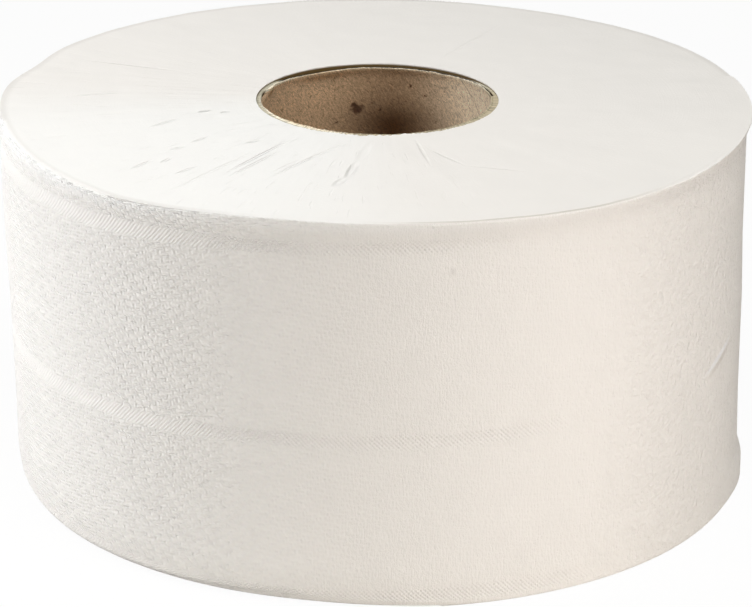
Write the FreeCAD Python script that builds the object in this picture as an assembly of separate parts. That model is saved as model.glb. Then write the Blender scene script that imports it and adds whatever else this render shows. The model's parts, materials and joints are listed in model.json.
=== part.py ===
import FreeCAD, Part
import math
import os

# A mini-jumbo toilet paper roll that stands on one of its cut ends.
# Lengths are millimetres and angles are degrees.
# The origin is on the core's axis at the lower end, and +Z goes up the axis.

# The wound paper
roll_diameter = 190.0     # across the upper rim
sheet_width = 98.0        # from one cut end to the other
sheet_step = 0.4          # how far the loose end stands out from the turn under it
tail_angle = 14.0         # where the loose end lies, turned from +X towards +Y
rim_flare = 1.3           # the upper rim stands this far outside the wall
rim_round = 1.2
foot_round = 2.2
flats_in_round = 3        # a soft edge is made of this many flats

# Crimped bands that hold the two plies of the sheet together, the lowest just above the foot
band_width = 3.4
band_depth = 0.4
mid_band_drop = 6.3       # from half height down to the middle of the next band
top_band_drop = 8.0       # from the upper end down to the middle of the highest band

# Fine spiral line that the turns leave on both cut ends
turn_line_pitch = 11.5    # one slack turn in seventy or so shows as a line
pressed_line_pitch = 23.0  # fewer show on the lower end, which the weight presses smooth
turn_line_width = 0.8
turn_line_depth = 0.25
turn_line_margin = 2.0    # paper left between the line and the rim, or the core

# The core, wound from strips of grey board
core_bore = 58.0
core_wall = 1.6
core_recess = 0.4         # the board ends this far below each end of the paper
ply_strip = 76.0          # width of the board strip that lines the bore
seam_width = 0.8
seam_depth = 0.3

QUARTER = 90.0
UP = FreeCAD.Vector(0, 0, 1)
OVERRUN = 1.0             # how far a cutting tool reaches past what it cuts

core_radius = core_bore / 2 + core_wall


def direction(angle):
    """The level unit vector at an angle from +X."""
    return FreeCAD.Vector(math.cos(math.radians(angle)), math.sin(math.radians(angle)), 0)


def inward_quarters(radius, pitch, turns):
    """Quarter turns of a flat spiral, from its outer end at the tail angle to its inner end.

    Each quarter is a plain arc about one corner of a small square, so neighbours share a
    tangent, and four quarters come in by one pitch. Yields centre, radius and first angle.
    """
    side = pitch / 4
    centre = (direction(tail_angle) + direction(tail_angle + QUARTER)) * (side / 2)
    for number in range(round(4 * turns)):
        start = tail_angle - (number + 1) * QUARTER
        yield centre, radius - number * side, start
        centre = centre + direction(start) * side


def revolve_quarter(section, centre, start):
    """Turns a section drawn in the XZ plane through the quarter that begins at an angle."""
    solid = Part.Face(section).revolve(FreeCAD.Vector(), UP, QUARTER)
    solid.rotate(FreeCAD.Vector(), UP, start)
    solid.translate(centre)
    return solid


def outline_of(points):
    """A closed wire in the XZ plane through (radius, height) points."""
    corners = [FreeCAD.Vector(radius, 0, height) for radius, height in points]
    return Part.makePolygon(corners + corners[:1])


def rounded(wall, end_height, size, into_paper):
    """A soft edge between the wall and an end face, from the wall towards the end face."""
    points = []
    for number in range(flats_in_round + 1):
        turn = math.radians(QUARTER * number / flats_in_round)
        out = wall - size + size * math.cos(turn)
        points.append((out, end_height + into_paper * size * (1 - math.sin(turn))))
    return points


def band_points(wall, middle):
    """The shallow trough of one crimped band, listed upwards."""
    half = band_width / 2
    return [(wall, middle - half), (wall - band_depth, middle), (wall, middle + half)]


def wall_section(rim):
    """Half section of the paper out to a rim radius: foot, wall with its bands, flare and rim.

    The lowest band starts where the foot's rounding ends, and the wall leans out into the
    rim from the highest band up.
    """
    wall = rim - rim_flare
    foot = rounded(wall, 0, foot_round, 1)
    section = [(0, 0)] + foot[::-1]
    section += band_points(wall, foot_round + band_width / 2)[1:]
    section += band_points(wall, sheet_width / 2 - mid_band_drop)
    section += band_points(wall, sheet_width - top_band_drop)
    section += rounded(rim, sheet_width, rim_round, -1)
    section.append((0, sheet_width))
    return outline_of(section)


def paper_body():
    """The wound sheet: one turn of its outline, ending in the step of the loose end."""
    quarters = [
        revolve_quarter(wall_section(radius), centre, start)
        for centre, radius, start in inward_quarters(roll_diameter / 2, sheet_step, 1)
    ]
    body = quarters[0].fuse(quarters[1:]).removeSplitter()
    bore = Part.makeCylinder(
        core_radius,
        sheet_width + 2 * OVERRUN,
        FreeCAD.Vector(0, 0, -OVERRUN),
    )
    return body.cut(bore)


def turn_line(end_height, into_paper, pitch):
    """The spiral V groove of the turns on one cut end, as a list of quarter-turn tools."""
    outer = roll_diameter / 2 - rim_flare - foot_round - turn_line_margin
    inner = core_radius + turn_line_margin
    turns = math.floor(4 * (outer - inner) / pitch) / 4
    tools = []
    for centre, radius, start in inward_quarters(outer, pitch, turns):
        # The groove's sides carry on past the end face, so that the cut stays clean.
        section = outline_of([
            (radius, end_height + into_paper * turn_line_depth),
            (radius + turn_line_width, end_height - into_paper * turn_line_depth),
            (radius - turn_line_width, end_height - into_paper * turn_line_depth),
        ])
        tools.append(revolve_quarter(section, centre, start))
    return tools


def wound_paper():
    upper_line = turn_line(sheet_width, -1, turn_line_pitch)
    lower_line = turn_line(0, 1, pressed_line_pitch)
    return paper_body().cut(upper_line + lower_line)


def core_tube():
    """The plain board tube, which the paper was wound on."""
    foot = FreeCAD.Vector(0, 0, core_recess)
    length = sheet_width - 2 * core_recess
    return Part.makeCylinder(core_radius, length, foot).cut(
        Part.makeCylinder(core_bore / 2, length, foot)
    )


def core_seam():
    """The open butt seam of the inner ply, a helix whose lead follows from the strip's width."""
    girth = math.pi * core_bore
    lead = girth * math.tan(math.asin(min(ply_strip / girth, 0.9)))
    inside = core_bore / 2
    run_in = lead / 4
    path = Part.makeHelix(lead, sheet_width + 2 * run_in, inside)
    path.translate(FreeCAD.Vector(0, 0, -run_in))
    mouth = FreeCAD.Vector(inside - seam_depth, 0, -run_in)
    corners = [
        mouth + FreeCAD.Vector(0, 0, -seam_width),
        mouth + FreeCAD.Vector(2 * seam_depth, 0, 0),
        mouth + FreeCAD.Vector(0, 0, seam_width),
    ]
    profile = Part.makePolygon(corners + corners[:1])
    return Part.Wire(path.Edges).makePipeShell([profile], True, True)


def cardboard_core():
    return core_tube().cut(core_seam())


os.makedirs("parts", exist_ok=True)
pieces = {
    "cardboard_core": cardboard_core(),
    "wound_paper": wound_paper(),
}
for name, shape in pieces.items():
    shape.exportStep("parts/" + name + ".step")
    print(name, "solids", len(shape.Solids), "valid", shape.isValid(), "volume", round(shape.Volume))
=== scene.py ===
import json
import math

import bpy
import numpy as np
from mathutils import Matrix, Vector

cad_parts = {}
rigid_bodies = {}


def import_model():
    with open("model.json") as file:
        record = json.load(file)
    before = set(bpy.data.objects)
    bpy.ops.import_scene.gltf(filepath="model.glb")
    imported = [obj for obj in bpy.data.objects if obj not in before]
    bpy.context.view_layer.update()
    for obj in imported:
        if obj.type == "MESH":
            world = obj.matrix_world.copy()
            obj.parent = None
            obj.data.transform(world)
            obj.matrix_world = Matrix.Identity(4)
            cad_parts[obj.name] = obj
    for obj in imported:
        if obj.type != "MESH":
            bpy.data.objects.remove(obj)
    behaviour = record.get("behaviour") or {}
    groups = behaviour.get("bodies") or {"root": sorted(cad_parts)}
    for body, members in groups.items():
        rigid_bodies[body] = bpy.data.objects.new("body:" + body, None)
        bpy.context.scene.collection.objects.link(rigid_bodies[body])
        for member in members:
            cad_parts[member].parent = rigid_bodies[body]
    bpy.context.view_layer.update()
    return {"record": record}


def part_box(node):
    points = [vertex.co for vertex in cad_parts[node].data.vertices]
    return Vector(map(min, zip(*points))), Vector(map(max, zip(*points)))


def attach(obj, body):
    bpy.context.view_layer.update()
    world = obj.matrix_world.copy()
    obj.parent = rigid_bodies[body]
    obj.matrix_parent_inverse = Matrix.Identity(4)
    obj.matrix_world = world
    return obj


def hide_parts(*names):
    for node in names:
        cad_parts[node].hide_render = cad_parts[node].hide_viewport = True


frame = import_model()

MM = 0.001

# The white table
# A seamless sheet of white card that the roll stands on. It shows plain white to the camera,
# and keeps a share of its own shading so that the roll's soft shadow stays on it.

CARD_SIDE = 6.0
CARD_SHADING = 0.05


def linear(colour):
    """Linear red, green, blue and alpha from an sRGB hex colour."""
    channels = [int(colour[i:i + 2], 16) / 255 for i in (1, 3, 5)]
    bent = [c / 12.92 if c <= 0.04045 else ((c + 0.055) / 1.055) ** 2.4 for c in channels]
    return (*bent, 1.0)


def new_material(name):
    """A material with an empty tree, its output node and that tree."""
    material = bpy.data.materials.new(name)
    material.use_nodes = True
    tree = material.node_tree
    tree.nodes.clear()
    return material, tree, tree.nodes.new("ShaderNodeOutputMaterial")


def add(tree, kind, inputs=(), **settings):
    """Adds a node, sets its properties, and fills or links its inputs by name or number."""
    node = tree.nodes.new(kind)
    for key, value in settings.items():
        setattr(node, key, value)
    for key, value in dict(inputs).items():
        if isinstance(value, bpy.types.NodeSocket):
            tree.links.new(value, node.inputs[key])
        else:
            node.inputs[key].default_value = value
    return node


def white_card():
    """Matt white card: plain white where the camera looks at it, with a faint shadow."""
    material, tree, output = new_material("white_card")
    path = add(tree, "ShaderNodeLightPath")
    seen = add(tree, "ShaderNodeMath", {0: path.outputs["Is Camera Ray"],
                                        1: path.outputs["Is Glossy Ray"]}, operation="MAXIMUM")
    seen = add(tree, "ShaderNodeMath", {0: seen.outputs[0],
                                        1: path.outputs["Is Transmission Ray"]}, operation="MAXIMUM")
    share = add(tree, "ShaderNodeMath", {0: seen.outputs[0], 1: 1 - CARD_SHADING},
                operation="MULTIPLY")
    matt = add(tree, "ShaderNodeBsdfDiffuse", {"Color": linear("#F4F2EE")})
    white = add(tree, "ShaderNodeEmission", {"Color": (1, 1, 1, 1), "Strength": 1.0})
    mixed = add(tree, "ShaderNodeMixShader", {0: share.outputs[0], 1: matt.outputs[0],
                                              2: white.outputs[0]})
    tree.links.new(mixed.outputs[0], output.inputs["Surface"])
    return material


def deselect_all():
    for thing in bpy.context.view_layer.objects:
        thing.select_set(False)


deselect_all()
bpy.ops.mesh.primitive_plane_add(size=CARD_SIDE, location=(0, 0, 0))
card = bpy.context.object
card.name = "white_table"
card.data.materials.append(white_card())

# The cardboard core
# A tube wound spirally from strips of grey-brown recycled board, glued ply on ply. The log saw
# cuts its ends, which leaves a pale burr along the inner edge.

core_low, core_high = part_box("cardboard_core")
core_radius = (core_high.x - core_low.x) / 2
core_top = core_high.z
bore_mount = next(m for m in frame["record"]["mounts"] if m["name"] == "core_bore")
bore_radius = bore_mount["dims"]["r_mm"] * MM
CORE_COLUMNS = 360
BURR_HEIGHT = 0.35 * MM
SPLIT_DEPTH = 1.2 * MM      # how far the inner ply has parted from the next one
SEAM_LEAD = 152 * MM        # the inner ply climbs this far in one turn
SEAM_DROP = 6.3 * MM        # below the rim, where the seam passes SEAM_ANGLE
SEAM_ANGLE = 28.4
WELD = 0.01 * MM            # vertices nearer than this are merged


def turned(name, section, columns):
    """Traces a closed section of (radius, height) points and spins it once round the axis."""
    deselect_all()
    bpy.ops.mesh.primitive_plane_add(size=MM, location=(0, 0, 0))
    piece = bpy.context.object
    piece.name = name
    bpy.ops.object.mode_set(mode="EDIT")
    bpy.ops.mesh.merge(type="CENTER")
    bpy.ops.transform.translate(value=(section[0][0], 0, section[0][1]))
    for (radius, height), (next_radius, next_height) in zip(section, section[1:]):
        step = (next_radius - radius, 0, next_height - height)
        bpy.ops.mesh.extrude_vertices_move(TRANSFORM_OT_translate={"value": step})
    bpy.ops.mesh.select_all(action="SELECT")
    bpy.ops.mesh.remove_doubles(threshold=WELD)
    bpy.ops.mesh.spin(steps=columns, angle=2 * math.pi, center=(0, 0, 0), axis=(0, 0, 1))
    bpy.ops.mesh.select_all(action="SELECT")
    bpy.ops.mesh.remove_doubles(threshold=WELD)
    bpy.ops.mesh.normals_make_consistent(inside=False)
    bpy.ops.object.mode_set(mode="OBJECT")
    return piece


def places_of(piece):
    """The piece's vertices as radius, angle in degrees and height."""
    flat = np.empty(len(piece.data.vertices) * 3)
    piece.data.vertices.foreach_get("co", flat)
    x, y, z = flat.reshape(-1, 3).T
    return np.hypot(x, y), np.degrees(np.arctan2(y, x)) % 360, z.copy()


def place(piece, radius, angle, height):
    """Puts the piece's vertices at new radii, angles in degrees and heights."""
    turn = np.radians(angle)
    points = np.stack([radius * np.cos(turn), radius * np.sin(turn), height], axis=-1)
    piece.data.vertices.foreach_set("co", points.ravel())
    piece.data.update()


def apart(angle, middle):
    """Signed angle in degrees from a middle direction, between -180 and 180."""
    return (angle - middle + 180) % 360 - 180


def bell(distance, width):
    """A smooth hump of height 1 that falls off over a width."""
    return np.exp(-0.5 * (distance / width) ** 2)


def ease(value, start, end):
    """Rises smoothly from 0 at the start to 1 at the end."""
    share = np.clip((value - start) / (end - start), 0, 1)
    return share * share * (3 - 2 * share)


def steps(start, end, size):
    """Evenly spaced values from start up to but not including end, about size apart."""
    count = max(round(abs(end - start) / size), 1)
    return [start + (end - start) * i / count for i in range(count)]


def ragged(angle, seed, finest):
    """A ragged line round the roll, from -1 to 1: many waves with seeded phases."""
    rng = np.random.default_rng(seed)
    line = np.zeros_like(angle)
    for waves in range(3, finest, 4):
        phase = rng.uniform(0, 2 * math.pi)
        line += np.sin(np.radians(angle) * waves + phase) * rng.uniform(0.3, 1.0) / waves ** 0.4
    return line / np.abs(line).max()


def core_section():
    """Bore wall, burr, cut face, outer wall and lower cut face, as a closed outline."""
    low = core_low.z
    fine = core_top - 4 * MM
    section = [(bore_radius, z) for z in steps(low, fine, 6 * MM) + steps(fine, core_top, 0.35 * MM)]
    section += [(r, core_top) for r in steps(bore_radius, core_radius, 0.15 * MM)]
    section += [(core_radius, z) for z in steps(core_top, fine, 0.4 * MM) + steps(fine, low, 12 * MM)]
    section += [(r, low) for r in steps(core_radius, bore_radius, 0.4 * MM)]
    return section + section[:1]


def shape_core(core):
    """Raises the burr on the inner ply, splits it off behind and folds in a torn corner."""
    radius, angle, height = places_of(core)
    depth = core_top - height
    out = (radius - bore_radius) / MM
    on_face = (depth < 0.05 * MM) * 1.0
    inner = 1 - ease(out, 0.32, 0.45)
    split = ease(out, 0.32, 0.45) * (1 - ease(out, 0.75, 0.9))
    behind = ease(angle, 6, 18) * (1 - ease(angle, 60, 90))
    burr = BURR_HEIGHT * (0.5 + 0.5 * ragged(angle, 11, 170))
    height = height + on_face * (inner * burr - split * SPLIT_DEPTH * behind)
    # The rim has sunk and drawn away from the paper at the back, and its edge wanders a little.
    near_top = 1 - ease(depth, 0, 3 * MM)
    at_back = ease(angle, 20, 45) * (1 - ease(angle, 138, 156))
    height = height - near_top * at_back * (0.32 + 0.25 * bell(apart(angle, 124), 13)) * MM
    radius = radius - near_top * 0.5 * MM * bell(apart(angle, 119), 12)
    radius = radius - near_top * 0.2 * MM * bell(apart(angle, 75), 20)
    on_bore = radius < core_radius - 0.9 * MM
    radius = radius + near_top * on_bore * 0.14 * MM * ragged(angle, 5, 240)
    # The saw has pushed the inner ply over the bore at two places, and clear of it at a third.
    pushed = 0.15 + 0.45 * bell(apart(angle, 226), 16) + 0.4 * bell(apart(angle, 328), 20)
    pushed = pushed - 0.5 * bell(apart(angle, 184), 14)
    radius = radius - on_bore * (1 - ease(depth, 0, 1.6 * MM)) * pushed * MM
    # At the left the saw has torn the inner ply and folded it inwards.
    fold = bell(apart(angle, 161), 2.6) * (1 - ease(depth, 0, 2.2 * MM))
    beside = bell(apart(angle, 168), 4.5) * (1 - ease(depth, 0, 1.6 * MM))
    radius = radius - on_bore * MM * (0.85 * fold - 0.5 * beside)
    place(core, radius, angle, height)


def colour_mix(tree, factor, first, second):
    """Blends two colours, each a socket or an sRGB hex colour, and returns the result."""
    ends = [end if isinstance(end, bpy.types.NodeSocket) else linear(end)
            for end in (first, second)]
    mixer = add(tree, "ShaderNodeMix", {"Factor": factor, "A": ends[0], "B": ends[1]},
                data_type="RGBA")
    return mixer.outputs["Result"]


def between(tree, value, start, end, low=0.0, high=1.0):
    """Maps a value smoothly from start..end to low..high and returns the result."""
    ranged = add(tree, "ShaderNodeMapRange", {"Value": value, "From Min": start, "From Max": end,
                                              "To Min": low, "To Max": high},
                 interpolation_type="SMOOTHSTEP")
    return ranged.outputs[0]


def maths(tree, operation, *values):
    """Applies a math operation to sockets or numbers and returns the result."""
    return add(tree, "ShaderNodeMath", dict(enumerate(values)), operation=operation).outputs[0]


def spot(tree, where, middle, reach, turn=0.0):
    """A cone of height 1 at a place, stretched to its reach along each axis."""
    seat = add(tree, "ShaderNodeMapping", {"Vector": where, "Location": middle,
                                           "Rotation": (0, 0, turn), "Scale": reach},
               vector_type="TEXTURE")
    return add(tree, "ShaderNodeTexGradient", {"Vector": seat.outputs[0]},
               gradient_type="SPHERICAL").outputs["Fac"]


def grey_board():
    """Recycled grey board: matt brown, matted fibres and specks; gives the bore its colour.

    The cut plies on top are greyer. Painted light pales the bore's right side; painted shade darkens
    its back, its depths, the split and the edge by the paper.
    """
    material, tree, output = new_material("recycled_core_board")
    where = add(tree, "ShaderNodeTexCoord").outputs["Object"]
    part = add(tree, "ShaderNodeSeparateXYZ", {0: where}).outputs
    level = add(tree, "ShaderNodeCombineXYZ", {0: part["X"], 1: part["Y"]})
    out = add(tree, "ShaderNodeVectorMath", {0: level.outputs[0]}, operation="LENGTH")
    out = out.outputs["Value"]
    turn = maths(tree, "ARCTAN2", part["Y"], part["X"])

    cloud = add(tree, "ShaderNodeTexNoise", {"Vector": where, "Scale": 1 / (7 * MM), "Detail": 2.0})
    unrolled = add(tree, "ShaderNodeCombineXYZ", {
        0: maths(tree, "MULTIPLY", turn, bore_radius / MM),
        1: maths(tree, "DIVIDE", part["Z"], MM)})
    laid = add(tree, "ShaderNodeMapping", {"Vector": unrolled.outputs[0],
                                           "Rotation": (0, 0, math.radians(48)),
                                           "Scale": (1.0, 0.38, 1.0)}, vector_type="TEXTURE")
    fibre = add(tree, "ShaderNodeTexNoise", {"Vector": laid.outputs[0], "Scale": 1.0,
                                             "Detail": 3.0, "Roughness": 0.8, "Distortion": 1.2})
    fleck = add(tree, "ShaderNodeTexNoise", {"Vector": where, "Scale": 1 / (1.5 * MM),
                                             "Detail": 1.0})
    # Painted light makes the bore's wall paler towards its right side, where the lamps from the left
    # fall on it.
    side = between(tree, part["X"], 4 * MM, 27 * MM)
    base = colour_mix(tree, side, "#D8B997", "#F2E4CB")
    base = colour_mix(tree, maths(tree, "MULTIPLY", cloud.outputs["Fac"], 0.35), base, "#B89C7A")

    # Painted shade: the back of the bore darkens from a few mm below the rim, where the lamps don't
    # reach.
    off = maths(tree, "ABSOLUTE", maths(tree, "SUBTRACT", turn, math.radians(82)))
    painted_bore_shade = maths(tree, "MULTIPLY", between(tree, off, math.radians(46), 0.0),
                   between(tree, part["Z"], core_top - 5 * MM, core_top - 16 * MM, 0.50, 1.0))
    painted_bore_shade = maths(tree, "MULTIPLY", painted_bore_shade,
                   between(tree, part["Z"], core_top - 60 * MM, core_top - 30 * MM, 0.3, 1.0))
    base = colour_mix(tree, painted_bore_shade, base, "#482B06")
    # The fibres vary in tone, and painted shade makes the board a little darker further down the
    # bore.
    grain_and_depth_shade = between(tree, fibre.outputs["Fac"], 0.28, 0.74, 0.60, 1.80)
    grain_and_depth_shade = maths(tree, "MULTIPLY", grain_and_depth_shade, between(tree, part["Z"], core_top - 15 * MM,
                                                   core_top - 5 * MM, 0.84, 1.0))
    base = colour_mix(tree, between(tree, fleck.outputs["Fac"], 0.66, 0.74, 0.0, 0.45), base,
                      "#6E5238")

    # The cut plies: a pale burr inside, grey board, and painted shade as a dark line where the paper
    # starts.
    ramp = add(tree, "ShaderNodeValToRGB", {
        0: maths(tree, "DIVIDE", maths(tree, "SUBTRACT", out, bore_radius - 0.5 * MM),
                 core_radius - bore_radius + 0.5 * MM)})
    stops = ((0.0, "#E0CFAF"), (0.32, "#F2EAD8"), (0.42, "#C0B9A5"), (0.85, "#B5AF9C"),
             (1.0, "#7A7362"))
    while len(ramp.color_ramp.elements) < len(stops):
        ramp.color_ramp.elements.new(0.5)
    for element, (position, colour) in zip(ramp.color_ramp.elements, stops):
        element.position = position
        element.color = linear(colour)
    at_right = between(tree, maths(tree, "SUBTRACT", part["X"], part["Y"]), 12 * MM, 26 * MM)
    cut = colour_mix(tree, at_right, ramp.outputs[0], "#B4A88E")
    on_cut = between(tree, part["Z"], core_top - 0.6 * MM, core_top - 0.25 * MM)
    base = colour_mix(tree, on_cut, base, cut)
    # Painted shade darkens the split behind the inner ply.
    painted_split_shade = maths(tree, "MULTIPLY", between(tree, out, bore_radius + 0.34 * MM,
                                               bore_radius + 0.48 * MM),
                     between(tree, part["Z"], core_top - 0.05 * MM, core_top - 0.35 * MM))
    base = colour_mix(tree, painted_split_shade, base, "#3A2A18")

    # The open seam of the inner ply, and specks in the board: angle, height and size.
    climb = maths(tree, "SUBTRACT", maths(tree, "DIVIDE", part["Z"], SEAM_LEAD),
                  maths(tree, "DIVIDE", turn, 2 * math.pi))
    seam_phase = (core_top - SEAM_DROP) / SEAM_LEAD - SEAM_ANGLE / 360
    seam = maths(tree, "FRACT", maths(tree, "ADD", climb, 0.5 - seam_phase))
    seam = maths(tree, "ABSOLUTE", maths(tree, "SUBTRACT", seam, 0.5))
    seam = between(tree, seam, 0.45 * MM / SEAM_LEAD, 0.0)
    base = colour_mix(tree, maths(tree, "MULTIPLY", seam, 0.35), base, "#6B5136")
    specks = ((100.4, 86.1, 2.3), (101.8, 87.4, 1.4), (111.6, 83.2, 0.8), (72.4, 93.0, 0.55),
              (64.7, 90.4, 0.45), (75.5, 88.5, 0.4), (88.0, 86.2, 0.5))
    blot = add(tree, "ShaderNodeTexNoise", {"Vector": where, "Scale": 1 / (1.2 * MM),
                                            "Detail": 2.0})
    blurred = add(tree, "ShaderNodeVectorMath", {0: blot.outputs["Color"],
                                                 1: (2 * MM, 2 * MM, 2 * MM),
                                                 2: where}, operation="MULTIPLY_ADD").outputs[0]
    blurred = add(tree, "ShaderNodeVectorMath", {0: blurred, 1: (MM, MM, MM)},
                  operation="SUBTRACT").outputs[0]
    for angle, height, size in specks:
        bearing = math.radians(angle)
        middle = Vector((bore_radius * math.cos(bearing), bore_radius * math.sin(bearing),
                         height * MM))
        dark = spot(tree, blurred, middle, (size * MM, size * MM, 0.8 * size * MM))
        base = colour_mix(tree, between(tree, dark, 0.0, 0.7, 0.0, 0.88), base, "#3F1E03")

    shade = add(tree, "ShaderNodeVectorMath", {0: base, "Scale": grain_and_depth_shade}, operation="SCALE")
    shader = add(tree, "ShaderNodeBsdfPrincipled", {"Base Color": shade.outputs[0],
                                                    "Roughness": 0.92})
    dip = maths(tree, "MULTIPLY_ADD", seam, -0.6, fibre.outputs["Fac"])
    bump = add(tree, "ShaderNodeBump", {"Height": dip, "Strength": 1.0, "Distance": 0.16 * MM})
    tree.links.new(bump.outputs["Normal"], shader.inputs["Normal"])
    tree.links.new(shader.outputs[0], output.inputs["Surface"])
    return material


core = turned("board_core", core_section(), CORE_COLUMNS)
shape_core(core)
core.data.materials.append(grey_board())
deselect_all()
core.select_set(True)
bpy.context.view_layer.objects.active = core
bpy.ops.object.shade_smooth_by_angle(angle=math.radians(40))
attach(core, "root")
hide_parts("cardboard_core")

# The wound paper
# One long two-ply tissue sheet, wound on the core and cut to width by a saw. The plies are
# crimped together along three bands, and the sheet carries a fine woven emboss all over.

paper_low, paper_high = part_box("wound_paper")
roll_height = paper_high.z
rim_radius = (paper_high.x - paper_low.x) / 2
RIM_FLARE = 1.3             # mm that the rim stands outside the wall
wall_radius = rim_radius - RIM_FLARE * MM
TAIL_ANGLE = 14.0           # where the loose end lies, in degrees from +X towards +Y
SHEET_STEP = 0.4            # mm that the loose end stands out from the turn under it
BAND_WIDTH = 3.8            # mm
BAND_DEPTH = 0.08           # mm
BAND_HEIGHTS = (3.9, 42.7, 90.0)
BAND_FADES = ((296, 16), (290, 16), (278, 14))  # where each band starts to fade, and over how far
SLIDE_REACH = 60 * MM       # how far in from the rim the turns have slid
LIP_HEIGHT = 0.22 * MM
SLIT_DEPTH = 0.3 * MM
SLIT_PLACE = 1.1 * MM       # in from the wall
PAPER_COLUMNS = 480


def paper_section():
    """Square section of the paper, with rows close together where its form is fine."""
    top = roll_height
    mid_band, top_band = [height * MM for height in BAND_HEIGHTS[1:]]
    wall = steps(0, 7 * MM, 0.45 * MM)
    wall += steps(7 * MM, mid_band - 3.5 * MM, 1.3 * MM)
    wall += steps(mid_band - 3.5 * MM, mid_band + 4.5 * MM, 0.45 * MM)
    wall += steps(mid_band + 4.5 * MM, top_band - 4.5 * MM, 1.3 * MM)
    wall += steps(top_band - 4.5 * MM, top - 1.2 * MM, 0.42 * MM)
    wall += steps(top - 1.2 * MM, top, 0.2 * MM)
    upper_end = steps(wall_radius, wall_radius - 1.2 * MM, 0.2 * MM)
    upper_end += steps(wall_radius - 1.2 * MM, wall_radius - 4 * MM, 0.45 * MM)
    upper_end += steps(wall_radius - 4 * MM, core_radius + 1.6 * MM, 1.5 * MM)
    upper_end += steps(core_radius + 1.6 * MM, core_radius, 0.3 * MM)
    lower_end = steps(core_radius, wall_radius - 6.5 * MM, 9 * MM)
    lower_end += steps(wall_radius - 6.5 * MM, wall_radius, 0.65 * MM)
    section = [(wall_radius, z) for z in wall] + [(r, top) for r in upper_end]
    section += [(core_radius, z) for z in (top, top - 0.5 * MM, top - 1.5 * MM, 40 * MM)]
    section += [(r, 0) for r in lower_end]
    return section + section[:1]


def gather_columns(angle):
    """Moves columns of vertices closer together towards the front, where the form is fine."""
    shares = {TAIL_ANGLE: 0.75, 175: 1.35, 290: 1.15}
    starts = list(shares) + [TAIL_ANGLE + 360]
    counts = [share * (end - start) for share, start, end in
              zip(shares.values(), starts, starts[1:])]
    even = np.concatenate([[0], np.cumsum(counts)]) / sum(counts) * 360
    return np.interp((angle - TAIL_ANGLE) % 360, even, np.array(starts)) % 360


def soften(radius, height, corner_radius, corner_height, size, inward):
    """Rounds the edge between the wall and an end: points near it move onto an arc."""
    up_wall = np.abs(height - corner_height) / size
    over_end = (corner_radius - radius) / size
    on_wall = (over_end < 1e-4) & (up_wall < 1)
    on_end = (up_wall < 1e-4) & (over_end < 1) & (over_end >= 1e-4)
    turn = np.where(on_wall, 1 + up_wall, 1 - over_end) * math.pi / 4
    new_radius = corner_radius - size + size * np.sin(turn)
    new_height = corner_height + inward * (size - size * np.cos(turn))
    near = on_wall | on_end
    return np.where(near, new_radius, radius), np.where(near, new_height, height)


def band_fade(angle):
    """How strongly each band shows: they are pressed flat towards the right of the photo."""
    turned_on = (angle - TAIL_ANGLE) % 360 + TAIL_ANGLE
    return [1 - ease(turned_on, start, start + reach) for start, reach in BAND_FADES]


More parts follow.
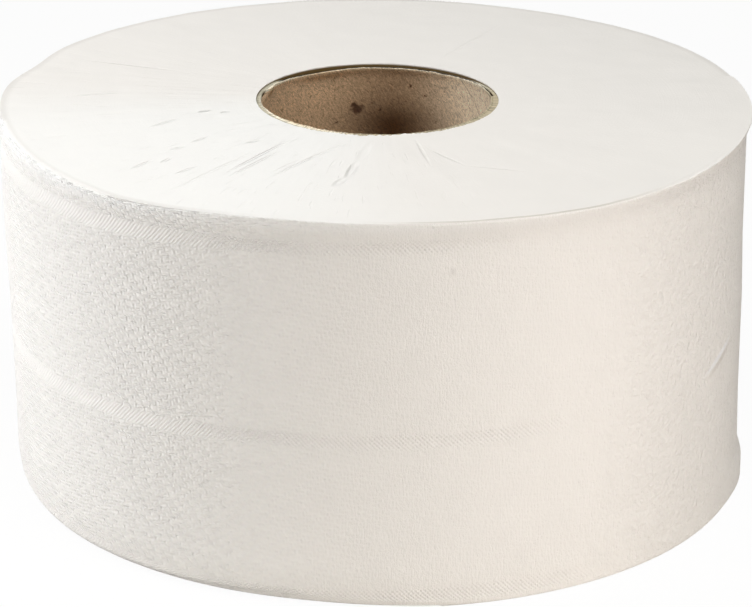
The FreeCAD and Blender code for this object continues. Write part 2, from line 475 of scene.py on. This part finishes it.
def shape_paper(piece):
    """Gives the plain turned roll its form; returns each vertex's height on the flat sheet."""
    radius, angle, height = places_of(piece)
    angle = gather_columns(angle)
    sheet_height = height / MM
    outer = radius > wall_radius - 0.01 * MM
    upper = height > roll_height - 0.01 * MM

    # The bands lie a little askew on the outermost turn: how far in mm, at angles in degrees,
    # and how much of it each height takes part in.
    askew = (((150, 237, 250, 261, 268, 302, 340), (0, -2.4, -1.8, -1.4, -0.9, -0.2, 0),
              (0, 3.9, 14), (0, 1, 0)),
             ((150, 213, 236, 252, 281, 300, 340), (0, -1.9, -1.4, -0.2, 0.2, 1.0, 0),
              (3.9, 14, 76, 90), (0, 1, 1, 0)),
             ((150, 207, 224, 250, 282, 340), (0, -1.7, -1.8, 0.2, 1.8, 1.0),
              (76, 90, 98), (0, 1, 0)))
    for at, by, heights, shares in askew:
        stray = np.interp(angle, at, by, period=360) * np.interp(sheet_height, heights, shares)
        height = height + outer * stray * MM
    # Handling has pressed the lower edge round at the left.
    left_front = ease(angle, 165, 200) * (1 - ease(angle, 256, 290))
    on_end, from_rim = upper * 1.0, wall_radius - radius
    radius, height = soften(radius, height, wall_radius, 0.0, (0.8 + 2.6 * left_front) * MM, 1)
    rim = 0.45 + 1.1 * ease(angle, 160, 200) * (1 - ease(angle, 222, 250))
    radius, height = soften(radius, height, wall_radius, roll_height, rim * MM, -1)
    # The outermost turns have slid below the upper end: how far in mm, at angles in degrees.
    slid = np.interp(angle, (20, 120, 150, 190, 215, 230, 243, 256, 282, 294, 306, 326, 342, 352),
                     (0.4, 0.3, 0.1, 0, 1.8, 2.3, 1.2, 0.3, 1.0, 1.4, 1.8, 1.7, 0.6, 0.3),
                     period=360)
    takes_part = np.maximum(on_end * np.clip(1 - from_rim / SLIDE_REACH, 0, 1) ** 1.5,
                            outer * np.interp(sheet_height, (91.5, 98), (0, 1)))
    height = height - slid * takes_part * MM
    # The last turn stands up as a thin lip at the right, with a slit behind it.
    lip = ease(angle, 262, 284) * (1 - ease(angle, 326, 345)) * on_end
    height = height + lip * LIP_HEIGHT * (1 - ease(from_rim, 0.35 * MM, 0.6 * MM))
    height = height - lip * SLIT_DEPTH * bell(from_rim - SLIT_PLACE, 0.25 * MM)
    for middle, fade in zip(BAND_HEIGHTS, band_fade(angle)):
        trough = np.clip(1 - np.abs(sheet_height - middle) / (BAND_WIDTH / 2), 0, 1)
        radius = radius - outer * fade * BAND_DEPTH * MM * (3 * trough ** 2 - 2 * trough ** 3)

    # The wall leans: each list says how far out it stands, in mm, at heights in mm.
    behind = ease(angle, 25, 60) * (1 - ease(angle, 158, 180))
    at_left = bell(apart(angle, 192), 32) * (1 - behind)
    at_right = bell(apart(angle, 352), 30) * (1 - behind)
    level = height / MM
    left_lean = np.interp(level, (0, 10, 25, 50, 66, 82, 98), (-1.2, -1.1, -0.8, 0, 0.75, 1.3, 1.3))
    right_lean = np.interp(level, (0, 10, 25, 50, 66, 94, 98), (0, 0, -0.3, -0.3, -0.75, -0.8, 0.8))
    plain_lean = np.interp(level, (0, 91, 98), (0, 0, RIM_FLARE)) * (1 - behind)
    lean = at_left * left_lean + at_right * right_lean + (1 - at_left - at_right) * plain_lean
    # The sheet's loose lower corner stands out at the right.
    corner = ease(angle, 300, 335) + (angle < TAIL_ANGLE)
    lean = lean + corner * (1.3 * bell(apart(angle, 354), 7) - 0.1) * (1 - ease(level, 5.5, 9.5))
    lean = lean - 1.2 * bell(apart(angle, 164), 5) * ease(level, 78, 96)
    lean = lean - 1.0 * left_front * (1 - ease(level, 1, 9))
    share = np.clip((radius / MM - 60) / (wall_radius / MM - 60), 0, 1)
    radius = radius + lean * MM * share

    # Each turn is one sheet further out than the last, up to the loose end.
    wound = ((angle - TAIL_ANGLE) % 360) / 360
    radius = radius + SHEET_STEP * MM * (wound - 0.5) * share

    # The cut edges are ragged round the core, most of all at the front.
    at_core = upper * (1 - ease(radius, core_radius, core_radius + 1.4 * MM))
    front = bell(apart(angle, 272), 21)
    height = height + at_core * MM * (0.10 + 0.25 * front) * ragged(angle, 21, 200)
    radius = radius - at_core * MM * (0.05 + 0.6 * front) * (0.5 + 0.5 * ragged(angle, 22, 200))
    soft = ragged(angle, 31, 40) * np.sin(radius / MM * 0.09) + ragged(angle, 32, 70) * 0.5
    height = height + upper * MM * 0.10 * soft * ease(radius, core_radius, 45 * MM)
    place(piece, radius, angle, height)
    # On the upper end the sheet's map carries on inwards from the rim.
    return sheet_height + upper * from_rim / MM, outer


def unroll_uv(piece, sheet_height):
    """Lays the sheet out flat in millimetres: along the roll's girth, and up its height."""
    mesh = piece.data
    layer = mesh.uv_layers.new(name="sheet")
    _, angle, _ = places_of(piece)
    corner = np.empty(len(mesh.loops), np.int64)
    mesh.loops.foreach_get("vertex_index", corner)
    totals = np.empty(len(mesh.polygons), np.int64)
    mesh.polygons.foreach_get("loop_total", totals)
    centres = np.empty(len(mesh.polygons) * 3)
    mesh.polygons.foreach_get("center", centres)
    x, y, _ = centres.reshape(-1, 3).T
    face_turn = np.repeat((np.degrees(np.arctan2(y, x)) - TAIL_ANGLE) % 360, totals)
    turn = face_turn + apart(angle[corner] - TAIL_ANGLE, face_turn)
    flat = np.stack([np.radians(turn) * wall_radius / MM, sheet_height[corner]], axis=-1)
    layer.data.foreach_set("uv", flat.ravel())


def along_girth(angle):
    """Distance in mm along the sheet, from its loose end to an angle in degrees."""
    return math.radians((angle - TAIL_ANGLE) % 360) * wall_radius / MM


def crease(tree, where, start, end, half_width):
    """A straight sharp fold from one place to another, as a ridge of height 1."""
    start, end = Vector(start), Vector(end)
    run = end - start
    ridge = spot(tree, where, (start + end) / 2, (0.6 * run.length, half_width, 1.0),
                 math.atan2(run.y, run.x))
    return between(tree, ridge, 0.0, 0.75)


def total_of(tree, terms):
    """Adds up (socket, weight) pairs."""
    total = 0.0
    for value, weight in terms:
        total = maths(tree, "MULTIPLY_ADD", value, weight, total)
    return total


def embossed_tissue():
    """Two-ply tissue, dry-creped and embossed: warm white, matt, with a fine woven relief."""
    material, tree, output = new_material("embossed_tissue")
    sheet = add(tree, "ShaderNodeUVMap", uv_map="sheet").outputs["UV"]
    parts = add(tree, "ShaderNodeSeparateXYZ", {0: sheet}).outputs
    girth, height = parts["X"], parts["Y"]

    def noise(scale, **inputs):
        """Cloudy noise on the sheet, its scale in features per mm along and up."""
        stretched = add(tree, "ShaderNodeMapping", {"Vector": sheet, "Scale": (*scale, 1.0)})
        return add(tree, "ShaderNodeTexNoise", {"Vector": stretched.outputs[0], "Scale": 1.0,
                                                **inputs}).outputs

    # The web has drawn unevenly through the embossing rolls, so the pattern wanders.
    drift = add(tree, "ShaderNodeVectorMath", {0: noise((0.2, 0.25), Detail=2.0)["Color"],
                                               "Scale": 1.2}, operation="SCALE")
    jitter = add(tree, "ShaderNodeVectorMath", {0: noise((0.9, 0.9), Detail=1.0)["Color"],
                                                "Scale": 0.22}, operation="SCALE")
    wander = add(tree, "ShaderNodeVectorMath", {0: drift.outputs[0], 1: jitter.outputs[0]})
    placed = add(tree, "ShaderNodeVectorMath", {0: sheet, 1: wander.outputs[0]}).outputs[0]

    def waves(on, families):
        """Adds up families of ridges: cycles per mm along and up, depth in mm and phase."""
        total = 0.0
        for across, up, depth, phase in families:
            spacing = (across * 2 * math.pi, up * 2 * math.pi, 0.0)
            along = add(tree, "ShaderNodeVectorMath", {0: on, 1: spacing},
                        operation="DOT_PRODUCT").outputs["Value"]
            ridge = maths(tree, "COSINE", maths(tree, "ADD", along, phase))
            total = maths(tree, "MULTIPLY_ADD", ridge, depth, total)
        return total

    # The woven emboss is built on two basic waves, in cycles per mm along and up. Each family
    # of ridges is a sum of whole multiples of them: how many of each, depth in mm and phase.
    first, second = np.array((-0.120, -0.705)), np.array((0.288, -0.433))
    orders = ((1, 0, 0.098, -0.66), (1, -2, 0.052, 1.28), (1, 1, 0.078, 1.79),
              (1, -3, 0.028, 0.24), (0, 1, 0.038, -0.70), (1, -1, 0.026, 1.47),
              (2, -2, 0.050, -1.11), (2, -3, 0.040, -1.75), (0, 3, 0.016, 0.0))
    emboss = waves(placed, [(*(m * first + n * second), depth, phase)
                            for m, n, depth, phase in orders])
    # The bands are knurled: strokes that rise to the right, crossed by others at the front.
    crossed = maths(tree, "MULTIPLY", waves(sheet, [(0.89, 0.88, 0.060, 0.0)]),
                    between(tree, girth, along_girth(234), along_girth(252), 0.1, 1.1))
    knurl = maths(tree, "ADD", waves(sheet, [(-0.89, 0.88, 0.068, 0.0)]), crossed)
    knurl = maths(tree, "MULTIPLY", knurl,
                  between(tree, girth, along_girth(234), along_girth(245), 1.0, 1.3))
    knurl = maths(tree, "MULTIPLY", knurl,
                  between(tree, girth, along_girth(253), along_girth(265), 1.0, 0.45))

    # Towards the right of the photo the emboss is pressed flat and the creping shows instead.
    flattened = between(tree, girth, along_girth(230), along_girth(276))
    uneven = between(tree, noise((0.5, 0.6), Detail=2.0)["Fac"], 0.25, 0.75, 0.65, 1.35)
    emboss = maths(tree, "MULTIPLY", emboss, uneven)
    emboss = maths(tree, "MULTIPLY", emboss, maths(tree, "MULTIPLY_ADD", flattened, -0.9, 1.0))

    relief = emboss
    for middle, (fade_start, fade_reach) in zip(BAND_HEIGHTS, BAND_FADES):
        off = maths(tree, "ABSOLUTE", maths(tree, "SUBTRACT", height, middle))
        near = between(tree, off, BAND_WIDTH / 2 + 0.1, BAND_WIDTH / 2 - 0.4)
        shown = between(tree, girth, along_girth(fade_start + fade_reach), along_girth(fade_start))
        relief = add(tree, "ShaderNodeMix", {"Factor": maths(tree, "MULTIPLY", near, shown),
                                             "A": relief, "B": knurl}).outputs["Result"]
    crepe = maths(tree, "MULTIPLY", noise((1 / 0.42, 1 / 2.4), Detail=2.0)["Fac"],
                  maths(tree, "MULTIPLY_ADD", flattened, 0.09, 0.08))
    fluff = noise((1 / 0.35, 1 / 0.35), Detail=2.0, Roughness=0.6)["Fac"]
    # The loose sheet at the right is crumpled finely.
    slack = between(tree, girth, along_girth(294), along_girth(326), 0.12, 1.35)
    crumple = noise((1 / 1.5, 1 / 1.9), Detail=3.0, Roughness=0.65)["Fac"]
    crumple = maths(tree, "MULTIPLY", crumple, slack)
    relief = total_of(tree, ((relief, 1.0), (crepe, 1.0), (fluff, 0.20), (crumple, 1.0)))

    # Folds in the loose sheet at the right: start and end as angle and height, then depth.
    folds = ((329.3, 41.2, 312.9, 41.6, 0.10),
             (335.4, 35.1, 330.6, 29.9, 0.20), (337.1, 24.6, 333.9, 19.9, 0.20),
             (315.1, 77.7, 311.9, 75.2, 0.15), (341.0, 33.0, 336.5, 27.0, 0.18),
             (322.5, 2.2, 316.5, 5.4, 0.25))
    for start, low, end, high, depth in folds:
        fold = crease(tree, sheet, (along_girth(start), low, 0), (along_girth(end), high, 0), 1.1)
        relief = maths(tree, "MULTIPLY_ADD", fold, depth, relief)
    # The largest is a sharp step that faces the front and runs out gently behind.
    seat = add(tree, "ShaderNodeMapping", {"Vector": sheet, "Scale": (13.0, 6.0, 1.0),
                                           "Location": (along_girth(335.0), 43.8, 0),
                                           "Rotation": (0, 0, math.atan2(5.4, 19.0))},
               vector_type="TEXTURE").outputs[0]
    across = add(tree, "ShaderNodeSeparateXYZ", {0: seat}).outputs["Y"]
    wide = add(tree, "ShaderNodeTexGradient", {"Vector": seat}, gradient_type="SPHERICAL")
    stepped = maths(tree, "MULTIPLY", between(tree, wide.outputs["Fac"], 0.0, 0.9),
                    between(tree, across, 0.08, -0.10))
    relief = maths(tree, "MULTIPLY_ADD", stepped, 0.5, relief)

    cloud = noise((1 / 9, 1 / 9), Detail=2.0)["Fac"]
    tint = colour_mix(tree, cloud, "#F4F1EC", "#F8F5F0")
    # Along the edge of that step a painted highlight, and a painted shadow line behind it.
    for aside, colour, strength in ((0.0, "#FFFFFF", 0.9), (1.3, "#B9B0A4", 0.25)):
        edge = crease(tree, sheet, (along_girth(329.5) + aside, 41.2 - aside, 0),
                      (along_girth(341.0) + aside, 46.6 - aside, 0), 1.2)
        tint = colour_mix(tree, maths(tree, "MULTIPLY", edge, strength), tint, colour)
    # Painted light makes the wall paler towards the rounded rim.
    painted_rim_light = maths(tree, "MULTIPLY", between(tree, height, 93.0, 97.5),
                 between(tree, girth, along_girth(320), along_girth(240), 0.1, 0.85))
    tint = colour_mix(tree, painted_rim_light, tint, "#FFFEFB")
    # Two specks in the sheet: angle, height and size in mm, and how dark each is.
    for angle, level, size, strength in ((280.9, 83.9, 0.9, 0.13), (217.8, 96.6, 0.35, 0.6)):
        dark = spot(tree, sheet, (along_girth(angle), level, 0), (size, 1.3 * size, 1.0))
        tint = colour_mix(tree, between(tree, dark, 0.0, 0.8, 0.0, strength), tint, "#6E6255")
    shader = add(tree, "ShaderNodeBsdfPrincipled", {"Base Color": tint, "Roughness": 0.9,
                                                    "Specular IOR Level": 0.25})
    bump = add(tree, "ShaderNodeBump", {"Height": relief, "Strength": 1.0, "Distance": MM})
    tree.links.new(bump.outputs["Normal"], shader.inputs["Normal"])
    tree.links.new(shader.outputs[0], output.inputs["Surface"])
    return material


def sawn_tissue():
    """Cut edges of several hundred turns, pressed together: matt white, smeared by the saw."""
    material, tree, output = new_material("sawn_tissue_edges")
    where = add(tree, "ShaderNodeTexCoord").outputs["Object"]
    part = add(tree, "ShaderNodeSeparateXYZ", {0: where}).outputs
    plan = add(tree, "ShaderNodeVectorMath", {0: where, 1: (1 / MM, 1 / MM, 0.0)},
               operation="MULTIPLY").outputs[0]
    out = add(tree, "ShaderNodeVectorMath", {0: plan}, operation="LENGTH").outputs["Value"]
    bearing = add(tree, "ShaderNodeVectorMath", {0: plan}, operation="NORMALIZE").outputs[0]
    turn_parts = add(tree, "ShaderNodeSeparateXYZ", {0: bearing}).outputs

    def streaks(across, along, **inputs):
        """Noise drawn out radially: features per radian across, and their length in mm."""
        spread = add(tree, "ShaderNodeVectorMath", {0: bearing, "Scale": across},
                     operation="SCALE").outputs[0]
        lift = add(tree, "ShaderNodeCombineXYZ", {2: maths(tree, "DIVIDE", out, along)})
        spread = add(tree, "ShaderNodeVectorMath", {0: spread, 1: lift.outputs[0]}).outputs[0]
        return add(tree, "ShaderNodeTexNoise", {"Vector": spread, "Scale": 1.0,
                                                **inputs}).outputs["Fac"]

    # The creases lie at the left and front of the photo and fade to the right and the back.
    creased = between(tree, maths(tree, "MULTIPLY_ADD", turn_parts["X"], 0.75,
                                  maths(tree, "MULTIPLY", turn_parts["Y"], 0.5)), 0.0, -0.75)
    dashes = between(tree, streaks(62.0, 8.0, Detail=1.0), 0.64, 0.74)
    dashes = maths(tree, "MULTIPLY", dashes, creased)
    ripples = streaks(16.0, 22.0, Detail=2.0)
    rings = add(tree, "ShaderNodeTexNoise", {"W": maths(tree, "DIVIDE", out, 0.45), "Scale": 1.0,
                                             "Detail": 1.0}, noise_dimensions="1D").outputs["Fac"]
    fluff = add(tree, "ShaderNodeTexNoise", {"Vector": plan, "Scale": 1 / 0.9, "Detail": 3.0,
                                             "Roughness": 0.6}).outputs["Fac"]
    waves = add(tree, "ShaderNodeTexNoise", {"Vector": plan, "Scale": 1 / 12, "Detail": 1.0})
    ripples = maths(tree, "MULTIPLY", ripples, maths(tree, "MULTIPLY_ADD", creased, 0.20, 0.04))
    relief = total_of(tree, ((dashes, -0.09), (ripples, 1.0), (rings, 0.02), (fluff, 0.06),
                             (waves.outputs["Fac"], 0.35)))

    # The longest creases: radius and angle where each starts and ends, then depth in mm. The
    # three soft ones at the front are wider than the rest.
    creases = ((69.0, 238.3, 39.5, 238.4, 0.30), (70.4, 240.0, 48.4, 241.1, 0.30),
               (88.3, 235.0, 48.8, 235.2, 0.16), (70.1, 261.6, 63.0, 263.4, 0.35),
               (64.5, 263.6, 51.4, 264.7, 0.40), (51.4, 264.7, 34.8, 268.0, 0.16),
               (68.0, 247.8, 42.8, 254.7, 0.22), (63.5, 246.9, 52.5, 249.5, 0.18),
               (51.7, 251.9, 35.5, 259.4, 0.14), (46.3, 195.3, 42.8, 194.2, 0.50),
               (41.2, 198.3, 38.4, 197.0, 0.40), (79.8, 222.4, 72.0, 221.4, 0.30),
               (72.0, 223.8, 67.4, 223.0, 0.25), (74.8, 230.1, 67.5, 230.4, 0.28),
               (60.8, 203.2, 51.8, 199.5, 0.30), (48.4, 228.5, 43.9, 230.3, 0.28),
               (64.4, 219.0, 60.2, 219.3, 0.25), (57.8, 218.2, 51.2, 217.1, 0.25),
               (84.2, 157.0, 55.8, 155.9, 0.16), (77.5, 179.7, 64.0, 176.2, 0.20),
               (42.7, 287.5, 56.3, 292.0, 0.12), (56.3, 292.0, 66.6, 303.3, 0.14),
               (53.9, 283.7, 34.3, 285.8, 0.12), (38.7, 65.1, 75.9, 64.2, 0.10))
    for start_out, start, end_out, end, depth in creases:
        ends = [(r * math.cos(math.radians(a)), r * math.sin(math.radians(a)), 0)
                for r, a in ((start_out, start), (end_out, end))]
        wide = 1.4 if 260 < start < 265 else 0.65
        fold = crease(tree, plan, *ends, wide)
        relief = maths(tree, "MULTIPLY_ADD", fold, -1.25 * depth, relief)

    cloud = add(tree, "ShaderNodeTexNoise", {"Vector": plan, "Scale": 1 / 14})
    tint = colour_mix(tree, cloud.outputs["Fac"], "#F5F1EC", "#F9F5F0")
    # Painted light makes the end whiter at the front left, where it curves over into the wall.
    painted_front_left_light = add(tree, "ShaderNodeVectorMath", {0: bearing, 1: (-0.71, -0.71, 0.0)},
                 operation="DOT_PRODUCT").outputs["Value"]
    painted_front_left_light = between(tree, painted_front_left_light, 0.55, 0.97, 0.0, 0.6)
    tint = colour_mix(tree, painted_front_left_light, tint, "#FFFFFD")
    # Painted shade shows a thin slit behind the last turn at the right.
    sheet = add(tree, "ShaderNodeUVMap", uv_map="sheet").outputs["UV"]
    sheet = add(tree, "ShaderNodeSeparateXYZ", {0: sheet}).outputs
    aside = maths(tree, "ABSOLUTE", maths(tree, "SUBTRACT", sheet["Y"], roll_height / MM + 1.3))
    painted_slit_shade = maths(tree, "MULTIPLY", between(tree, aside, 0.65, 0.2),
                 between(tree, sheet["X"], along_girth(266), along_girth(284)))
    painted_slit_shade = maths(tree, "MULTIPLY", painted_slit_shade, between(tree, sheet["X"], along_girth(322),
                                                 along_girth(300), 0.0, 0.75))
    tint = colour_mix(tree, painted_slit_shade, tint, "#CFC8BE")
    # Painted shade darkens the rounded rim at the left, so that it doesn't look brighter than the
    # wall.
    painted_rim_shade = maths(tree, "MULTIPLY", between(tree, sheet["Y"], roll_height / MM + 2.6,
                                              roll_height / MM + 0.8),
                    between(tree, sheet["X"], along_girth(262), along_girth(236), 0.0, 0.40))
    tint = colour_mix(tree, painted_rim_shade, tint, "#DEDAD4")
    # The first turn is glued to the core; painted shade darkens the paper beside it, in the gap above
    # the core.
    painted_gap_shade = maths(tree, "MULTIPLY", between(tree, out, core_radius / MM + 0.25,
                                              core_radius / MM + 0.05),
                    between(tree, part["Z"], roll_height - 0.1 * MM, roll_height - 0.4 * MM))
    tint = colour_mix(tree, painted_gap_shade, tint, "#7E6840")
    shader = add(tree, "ShaderNodeBsdfPrincipled", {"Base Color": tint, "Roughness": 0.85,
                                                    "Specular IOR Level": 0.25})
    bump = add(tree, "ShaderNodeBump", {"Height": relief, "Strength": 1.0, "Distance": MM})
    tree.links.new(bump.outputs["Normal"], shader.inputs["Normal"])
    tree.links.new(shader.outputs[0], output.inputs["Surface"])
    return material


def dress_paper(piece, outer):
    """Embossed sheet on the wall, sawn edges on both ends and in the paper's hole."""
    piece.data.materials.append(embossed_tissue())
    piece.data.materials.append(sawn_tissue())
    corner = np.empty(len(piece.data.loops), np.int64)
    piece.data.loops.foreach_get("vertex_index", corner)
    starts = np.empty(len(piece.data.polygons), np.int64)
    piece.data.polygons.foreach_get("loop_start", starts)
    on_wall = np.minimum.reduceat(outer[corner].astype(np.int64), starts)
    piece.data.polygons.foreach_set("material_index", 1 - on_wall)


paper = turned("wound_tissue", paper_section(), PAPER_COLUMNS)
sheet_height, outer = shape_paper(paper)
unroll_uv(paper, sheet_height)
dress_paper(paper, outer)
deselect_all()
paper.select_set(True)
bpy.context.view_layer.objects.active = paper
bpy.ops.object.shade_smooth_by_angle(angle=math.radians(55))
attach(paper, "root")
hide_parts("wound_paper")

# The light
# Five soft boxes. A cool one at the left with a small one low beside it, a warmer one at the
# front left, a small warm one low at the right, and a large one high above the front.

ROLL_MIDDLE = (0, 0, 0.05)
# Name, place and side in metres, power in watts, and colour.
SOFT_BOXES = (
    ("left_box", (-0.451, 0.09, 0.489), 0.30, 1.65, "#F9FCFF"),
    ("near_left_box", (-0.323, -0.079, 0.065), 0.10, 0.29, "#F4F7FF"),
    ("front_left_box", (-0.313, -0.336, 0.459), 0.30, 0.52, "#FFF4EC"),
    ("right_box", (0.222, -0.248, 0.065), 0.10, 0.225, "#FFF3EE"),
    ("upper_box", (0.247, -0.345, 1.025), 0.60, 7.35, "#FEFFFD"),
)

for name, place_at, side, power, colour in SOFT_BOXES:
    lamp = bpy.data.lights.new(name, "AREA")
    lamp.shape = "SQUARE"
    lamp.size = side
    lamp.energy = power
    lamp.color = linear(colour)[:3]
    box = bpy.data.objects.new(name, lamp)
    bpy.context.scene.collection.objects.link(box)
    box.location = place_at
    towards_roll = Vector(ROLL_MIDDLE) - Vector(place_at)
    box.rotation_euler = towards_roll.to_track_quat("-Z", "Y").to_euler()

# The room around shows white to the camera and lights nothing.
world = bpy.data.worlds.new("studio")
bpy.context.scene.world = world
world.use_nodes = True
world_tree = world.node_tree
world_tree.nodes.clear()
sky_path = add(world_tree, "ShaderNodeLightPath")
sky_level = add(world_tree, "ShaderNodeMix", {"Factor": sky_path.outputs["Is Camera Ray"],
                                              "A": 0.0, "B": 1.0})
sky = add(world_tree, "ShaderNodeBackground", {"Color": (1, 1, 1, 1),
                                               "Strength": sky_level.outputs["Result"]})
sky_output = add(world_tree, "ShaderNodeOutputWorld")
world_tree.links.new(sky.outputs[0], sky_output.inputs["Surface"])
bpy.context.scene.view_settings.view_transform = "Standard"

# The camera
# It looks down on the front of the roll from 20 degrees above the table, through a long lens
# that just takes in the roll from side to side.

STAND_OFF = 0.961
ELEVATION = math.radians(19.99)
TILT_DOWN = math.radians(20.39)
ROLL = math.radians(0.38)
AIM_HEIGHT = 0.050
LENS = 179.2
FILM_WIDTH = 36.0

camera_data = bpy.data.cameras.new("photo_camera")
camera_data.lens = LENS
camera_data.sensor_width = FILM_WIDTH
camera = bpy.data.objects.new("photo_camera", camera_data)
bpy.context.scene.collection.objects.link(camera)
seat = Vector((0, -STAND_OFF * math.cos(ELEVATION), AIM_HEIGHT + STAND_OFF * math.sin(ELEVATION)))
camera.matrix_world = (Matrix.Translation(seat) @ Matrix.Rotation(math.pi / 2 - TILT_DOWN, 4, "X")
                       @ Matrix.Rotation(ROLL, 4, "Z"))
bpy.context.scene.camera = camera
